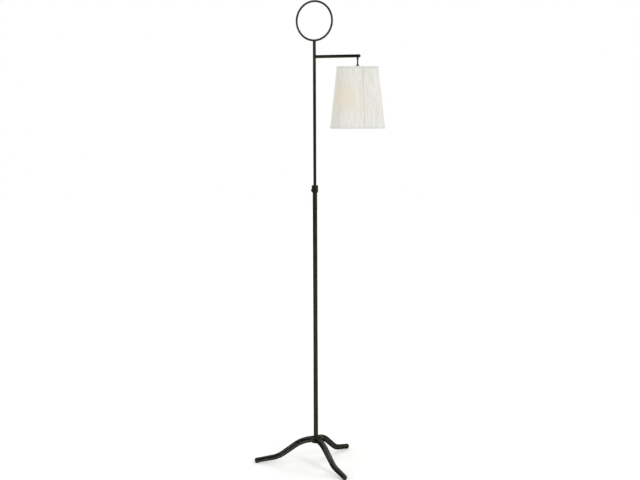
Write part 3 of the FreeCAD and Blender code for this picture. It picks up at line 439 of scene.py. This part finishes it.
def make_thread_tree(finish):
    sizes = {"Radius": "NodeSocketFloat", "Pitch": "NodeSocketFloat", "Length": "NodeSocketFloat",
             "Ridge": "NodeSocketFloat"}
    tree, given = new_tree("screw thread", sizes)
    turns = reckon(tree, "DIVIDE", given.outputs["Length"], given.outputs["Pitch"])
    spiral = add(tree, "GeometryNodeCurveSpiral", {
        "Resolution": 40, "Rotations": turns, "Start Radius": given.outputs["Radius"],
        "End Radius": given.outputs["Radius"], "Height": given.outputs["Length"]})
    ridge = add(tree, "GeometryNodeCurvePrimitiveCircle", {"Resolution": 6, "Radius": given.outputs["Ridge"]})
    thread = add(tree, "GeometryNodeCurveToMesh", {
        "Curve": spiral.outputs["Curve"], "Profile Curve": ridge.outputs["Curve"], "Fill Caps": True})
    close_tree(tree, thread.outputs["Mesh"], finish)
    return tree


def make_stitch_tree(finish):
    sizes = {"Radius": "NodeSocketFloat", "Count": "NodeSocketInt", "Stitch": "NodeSocketFloat",
             "Thread": "NodeSocketFloat"}
    tree, given = new_tree("stitch row", sizes)
    circle = add(tree, "GeometryNodeCurvePrimitiveCircle", {"Resolution": 120,
                                                            "Radius": given.outputs["Radius"]})
    spots = add(tree, "GeometryNodeCurveToPoints", {"Curve": circle.outputs["Curve"],
                                                    "Count": given.outputs["Count"]})
    bead = add(tree, "GeometryNodeMeshIcoSphere", {"Radius": given.outputs["Thread"], "Subdivisions": 1})
    share = reckon(tree, "DIVIDE", given.outputs["Stitch"], given.outputs["Thread"])
    stretch = add(tree, "ShaderNodeCombineXYZ", {"X": 1.0, "Y": 1.0, "Z": share})
    slack = 0.12
    loose = add(tree, "FunctionNodeRandomValue", {"Min": (-slack,) * 3, "Max": (slack,) * 3, "Seed": 4},
                data_type="FLOAT_VECTOR")
    lean = add(tree, "FunctionNodeRotateRotation", {
        "Rotation": spots.outputs["Rotation"], "Rotate By": loose.outputs["Value"]}, rotation_space="LOCAL")
    sewn = add(tree, "GeometryNodeInstanceOnPoints", {
        "Points": spots.outputs["Points"], "Instance": bead.outputs["Mesh"],
        "Rotation": lean.outputs["Rotation"], "Scale": stretch.outputs["Vector"]})
    close_tree(tree, sewn.outputs["Instances"], finish)
    return tree


def make_threads():
    low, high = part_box("collar")
    screw = centre_of("thumb_screw")
    axle = Vector((screw.x, screw.y, 0)).normalized()
    mesh = grow(make_thread_tree(DRAWN), {"Radius": 2.4 * MM, "Pitch": 0.8 * MM, "Length": 1.7 * MM,
                                          "Ridge": 0.28 * MM})
    aimed = axle.to_track_quat("Z", "Y").to_matrix().to_4x4()
    start = axle * (high[0] - low[0]) / 2 + Vector((0, 0, screw.z))
    mesh.transform(Matrix.Translation(start) @ aimed)
    new_piece("thumb_screw_thread", smooth(mesh), DRAWN, "aged_iron", "thumb_screw")
    low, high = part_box("bulb_cap")
    pitch = 3.6 * MM
    mesh = grow(make_thread_tree(BRASS), {"Radius": (high[0] - low[0]) / 2 - 0.25 * MM, "Pitch": pitch,
                                          "Length": 4 * pitch, "Ridge": 0.5 * MM})
    middle = centre_of("bulb_cap")
    mesh.transform(Matrix.Translation((middle.x, middle.y, middle.z - 2 * pitch)))
    new_piece("bulb_cap_thread", smooth(mesh), BRASS, "brass", "shade")


make_threads()


# Shade: pleated cover, lining and edge bindings

trim_low, trim_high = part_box("top_trim")
hem_low, hem_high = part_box("bottom_trim")
axis = centre_of("bottom_trim")
SHADE_TOP = trim_high[2]
SHADE_FOOT = hem_low[2]
SHADE_HEIGHT = SHADE_TOP - SHADE_FOOT
FOOT_RADIUS = (hem_high[0] - hem_low[0]) / 2
HEM_HEIGHT = hem_high[2] - hem_low[2]
SLOPE = (FOOT_RADIUS - (trim_high[0] - trim_low[0]) / 2) / (SHADE_HEIGHT - HEM_HEIGHT)
TOP_RADIUS = FOOT_RADIUS - SLOPE * SHADE_HEIGHT
BINDING = 0.65 * MM
PLEATS = 120
RIBS = 6
RIB_YAW = math.radians(6.5)
# Share of the cover's height from which each wire's painted shadow shows.
RIB_SHADOW_START_SHARES = (0.3, 0, 0.45, 0.2, 0.62, 0)
# Where the bulb's painted glow on the cover is strongest.
GLOW_YAW = math.radians(253)
CLOTH_WIDTH = 640 * MM
COVER_THICKNESS = 0.25 * MM
LINING_THICKNESS = 0.2 * MM
STITCH_PITCH = 3.4 * MM


def wall_radius(drop):
    return TOP_RADIUS + SLOPE * drop


def glow_at(angle, share):
    """How strong the bulb's painted glow on the cover is at an angle and a share of its height: a spot to one
    side and a faint band.
    """
    facing = max(0, math.cos(angle - GLOW_YAW))
    spot = 0.8 * facing ** 4 * math.exp(-((share - 0.48) / 0.28) ** 2)
    band = 0.2 * math.exp(-((share - 0.55) / 0.24) ** 2)
    return spot + band


def thicken(holder, thickness):
    """Give a cloth its thickness, inward."""
    thick = holder.modifiers.new("cloth", "SOLIDIFY")
    thick.thickness = thickness
    thick.offset = -1


def make_cover():
    """One strip of cloth, folded into uneven pleats that are deeper at the narrow top. It carries painted
    light: the depth of its folds for painted shade, a painted shadow of each wire of the frame below that
    wire's listed share of the height, and the bulb's painted glow."""
    draw = random.Random(7)
    widths = [draw.uniform(0.7, 1.35) for _ in range(PLEATS)]
    depths = [draw.uniform(0.7, 1.0) for _ in range(PLEATS)]
    fades = [draw.uniform(0, 1) for _ in range(PLEATS)]
    total = sum(widths)
    columns_each, rows = 8, 30
    skew, wander, flattening = 0.11, 0.16, 0.35
    bow_depth, wire_shadow_width, wire_shadow_fade, wire_shadow_start = 0.35 * MM, 2.2 * MM, 0.08, 0.3
    strip = bmesh.new()
    cloth = strip.loops.layers.uv.new("cloth")
    layers = {name: strip.verts.layers.float.new(name) for name in ("fold", "wire", "glow")}
    slant = math.hypot(SHADE_HEIGHT, FOOT_RADIUS - TOP_RADIUS)
    grid = []
    for row in range(rows + 1):
        share = row / rows
        drop = share * SHADE_HEIGHT
        radius = wall_radius(drop) - BINDING
        pitch = TURN * radius / PLEATS
        full = math.sqrt((CLOTH_WIDTH / PLEATS / 2) ** 2 - (pitch / 2) ** 2)
        line = []
        passed = 0
        for pleat in range(PLEATS):
            soft = 1 - flattening * math.sin(math.pi * share) * fades[pleat]
            for column in range(columns_each):
                step = column / columns_each
                lean = step + skew * math.sin(TURN * step)
                drift = wander * noise.noise(Vector((pleat * 0.9, share * 2.2, 3.1)))
                angle = TURN * (passed + widths[pleat] * (lean + drift * math.sin(math.pi * share))) / total
                inward = 0.5 - 0.5 * math.cos(TURN * step)
                depth = full * depths[pleat] * soft * inward
                bow = bow_depth * math.sin(math.pi * share) * (0.5 - 0.5 * math.cos(RIBS * (angle - RIB_YAW)))
                place = radius - depth - bow
                vertex = strip.verts.new((axis.x + place * math.cos(angle), axis.y + place * math.sin(angle),
                                          SHADE_TOP - drop))
                # Painted shadow of the nearest wire of the frame, from its listed share of the height down.
                nearest = round((angle - RIB_YAW) / (TURN / RIBS))
                off_rib = abs(angle - RIB_YAW - nearest * TURN / RIBS) * radius
                beyond = (share - RIB_SHADOW_START_SHARES[nearest % RIBS]) / wire_shadow_fade
                shadow_shown = min(1, max(0, beyond + wire_shadow_start))
                # How deep the fold is here, which the cotton turns into painted shade.
                vertex[layers["fold"]] = inward * soft
                vertex[layers["wire"]] = shadow_shown * max(0, 1 - off_rib / wire_shadow_width)
                # Painted glow of the bulb through the cloth.
                vertex[layers["glow"]] = glow_at(angle, share)
                line.append(vertex)
            passed += widths[pleat]
        grid.append(line)
    count = len(grid[0])
    for row in range(rows):
        for column in range(count):
            ahead = (column + 1) % count
            face = strip.faces.new([grid[row][column], grid[row + 1][column], grid[row + 1][ahead],
                                    grid[row][ahead]])
            places = ((row, column), (row + 1, column), (row + 1, column + 1), (row, column + 1))
            for loop, (down, along) in zip(face.loops, places):
                loop[cloth].uv = (along / count * CLOTH_WIDTH, down / rows * slant)
    bmesh.ops.recalc_face_normals(strip, faces=strip.faces)
    mesh = bpy.data.meshes.new("pleated_cover")
    strip.to_mesh(mesh)
    strip.free()
    holder = hold(smooth(mesh))
    thicken(holder, COVER_THICKNESS)
    piece = new_piece("pleated_cover", settled(holder), COTTON, "pleated_fabric", "shade", "shade_cover")
    return piece, slant


def turned_cloth(name, profile, closed, gathers, gather_depth, steps):
    """Cloth turned round the shade's axis: its profile is pairs of radius and height. The gathers are
    even ripples, and noise adds to them."""
    lathe = bmesh.new()
    lines = []
    for step in range(steps):
        angle = TURN * step / steps
        uneven = noise.noise(Vector((4 * math.cos(angle), 4 * math.sin(angle), 0.3)))
        pull = gather_depth * (math.sin(gathers * angle) + 0.6 * uneven)
        lines.append([lathe.verts.new((axis.x + (radius - pull) * math.cos(angle),
                                       axis.y + (radius - pull) * math.sin(angle), height))
                      for radius, height in profile])
    points = len(profile)
    for step in range(steps):
        first, second = lines[step], lines[(step + 1) % steps]
        for point in range(points if closed else points - 1):
            after = (point + 1) % points
            lathe.faces.new([first[point], second[point], second[after], first[after]])
    bmesh.ops.recalc_face_normals(lathe, faces=lathe.faces)
    mesh = bpy.data.meshes.new(name)
    lathe.to_mesh(mesh)
    lathe.free()
    return smooth(mesh)


def make_lining():
    low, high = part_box("shade_lining")
    foot = (high[0] - low[0]) / 2
    height = high[2] - low[2]
    rows = 12
    profile = [(foot - SLOPE * height * row / rows - LINING_THICKNESS, low[2] + height * row / rows)
               for row in range(rows + 1)]
    mesh = turned_cloth("shade_inner_cloth", profile, closed=False, gathers=72, gather_depth=0.1 * MM,
                        steps=432)
    holder = hold(mesh)
    thicken(holder, LINING_THICKNESS)
    piece = new_piece("inner_lining", settled(holder), LINING, "lining_fabric", "shade", "shade_lining")


def make_binding(name, node_name, edge, into):
    """A tape folded over the shade's edge: from its outer foot, over the edge, and down inside.
    Into is 1 where the shade is below the edge, and -1 where it is above."""
    thick, inner, corner = 0.55 * MM, 3.2 * MM, 0.6 * MM
    drop = SHADE_TOP - edge
    height = HEM_HEIGHT
    row_reach = 0.8 * height

    def outside(reach):
        return wall_radius(drop + into * reach)

    profile = [(outside(height), edge - into * height), (outside(corner), edge - into * corner),
               (outside(0) - 0.5 * MM, edge), (outside(0) - inner, edge),
               (outside(0) - inner, edge - into * thick),
               (outside(0) - thick - 0.35 * MM, edge - into * thick),
               (outside(height) - thick, edge - into * height)]
    mesh = turned_cloth(name, profile, closed=True, gathers=90, gather_depth=0.04 * MM, steps=360)
    piece = new_piece(name, mesh, TAPE, "trim_fabric", "shade", node_name)
    row_radius = outside(row_reach) - 0.05 * MM
    row = grow(make_stitch_tree(THREAD), {
        "Radius": row_radius, "Count": round(TURN * row_radius / STITCH_PITCH), "Stitch": 1.0 * MM,
        "Thread": 0.22 * MM})
    row.transform(Matrix.Translation((axis.x, axis.y, edge - into * row_reach)))
    return [piece, new_piece(name + "_stitches", smooth(row), THREAD, "trim_fabric", "shade")]


cover, cover_slant = make_cover()
make_lining()
edges = make_binding("top_binding", "top_trim", SHADE_TOP, 1)
edges += make_binding("bottom_binding", "bottom_trim", SHADE_FOOT, -1)


# Room: a white floor and backdrop, soft lamps, and the camera

def plain_rays(tree, rays):
    """One where the camera sees a surface straight or through the glass, and zero elsewhere."""
    return reckon(tree, "MAXIMUM", rays.outputs["Is Camera Ray"], rays.outputs["Is Transmission Ray"])


def make_room():
    """A white backdrop and floor. Metal mirrors them too, and mirrors the dimmer room in front of the lamp.
    Near the lamp the floor is lit more than it glows, so that it keeps the shadows."""
    world = bpy.data.worlds.new("studio")
    bpy.context.scene.world = world
    world.use_nodes = True
    tree = world.node_tree
    rays = add(tree, "ShaderNodeLightPath")
    way = add(tree, "ShaderNodeTexCoord").outputs["Generated"]
    bright_side, bounced_share = (0.55, 1, 0.5), 0.5
    along = add(tree, "ShaderNodeVectorMath", {0: way, 1: bright_side}, operation="DOT_PRODUCT")
    side = spread(tree, along.outputs["Value"], 0, 1, start=-0.25, end=0.2)
    mirror = reckon(tree, "MULTIPLY", rays.outputs["Is Glossy Ray"], side)
    bounced = reckon(tree, "MULTIPLY", rays.outputs["Is Diffuse Ray"], bounced_share)
    level = reckon(tree, "MAXIMUM", plain_rays(tree, rays), reckon(tree, "MAXIMUM", mirror, bounced))
    background = tree.nodes["Background"]
    background.inputs["Color"].default_value = paint("#ffffff")
    tree.links.new(level, background.inputs["Strength"])
    mesh = bpy.data.meshes.new("floor")
    reach = 9
    mesh.from_pydata([(-reach, -reach, 0), (reach, -reach, 0), (reach, reach, 0), (-reach, reach, 0)], [],
                     [(0, 1, 2, 3)])
    floor = bpy.data.objects.new("floor", mesh)
    bpy.context.scene.collection.objects.link(floor)
    material, tree, shader = new_material("white painted floor", Roughness=0.9, Specular_IOR_Level=0.1)
    shader.inputs["Base Color"].default_value = paint("#f4f4f2")
    shader.inputs["Emission Color"].default_value = paint("#ffffff")
    rays = add(tree, "ShaderNodeLightPath")
    mirrored_share, near, far, near_glow, far_glow = 0.4, 0.7, 2.6, 0.3, 0.62
    mirror = reckon(tree, "MULTIPLY", rays.outputs["Is Glossy Ray"], mirrored_share)
    seen = reckon(tree, "MAXIMUM", plain_rays(tree, rays), mirror)
    place = add(tree, "ShaderNodeTexCoord").outputs["Object"]
    distance = add(tree, "ShaderNodeVectorMath", {0: place}, operation="LENGTH").outputs["Value"]
    white = spread(tree, distance, near_glow, far_glow, start=near, end=far)
    tree.links.new(reckon(tree, "MULTIPLY", seen, white), shader.inputs["Emission Strength"])
    mesh.materials.append(material)


def make_lamp(name, place, target, width, height, power):
    light = bpy.data.lights.new(name, "AREA")
    light.shape = "RECTANGLE"
    light.size = width
    light.size_y = height
    light.energy = power
    lamp = bpy.data.objects.new(name, light)
    bpy.context.scene.collection.objects.link(lamp)
    lamp.location = place
    lamp.rotation_euler = (Vector(target) - Vector(place)).to_track_quat("-Z", "Y").to_euler()


def make_camera():
    """The photograph's view: where the camera stands, its aim and its lens."""
    azimuth, tilt = math.radians(23.893), math.radians(6.702)
    aside, roll = math.radians(0.241), math.radians(-0.204)
    distance, height = 4.0057, 1.2631
    camera = bpy.data.cameras.new("camera")
    camera.lens = 65.81
    holder = bpy.data.objects.new("camera", camera)
    bpy.context.scene.collection.objects.link(holder)
    bpy.context.scene.camera = holder
    place = Vector((math.sin(azimuth) * distance, -math.cos(azimuth) * distance, height))
    holder.matrix_world = (Matrix.Translation(place) @ Matrix.Rotation(azimuth - aside, 4, "Z")
                           @ Matrix.Rotation(math.pi / 2 - tilt, 4, "X") @ Matrix.Rotation(roll, 4, "Z"))


make_room()
for lamp_name, place, width, height, watts in (("key", (3.4, -2.0, 2.6), 1.2, 2.2, 57),
                                               ("fill", (-2.6, -2.9, 1.9), 1.8, 2.2, 35),
                                               ("back", (0.6, 3.2, 2.6), 2.0, 1.4, 34)):
    make_lamp(lamp_name, place, (0, 0, 0.9), width, height, watts)
make_camera()
bpy.context.scene.view_settings.view_transform = "Standard"
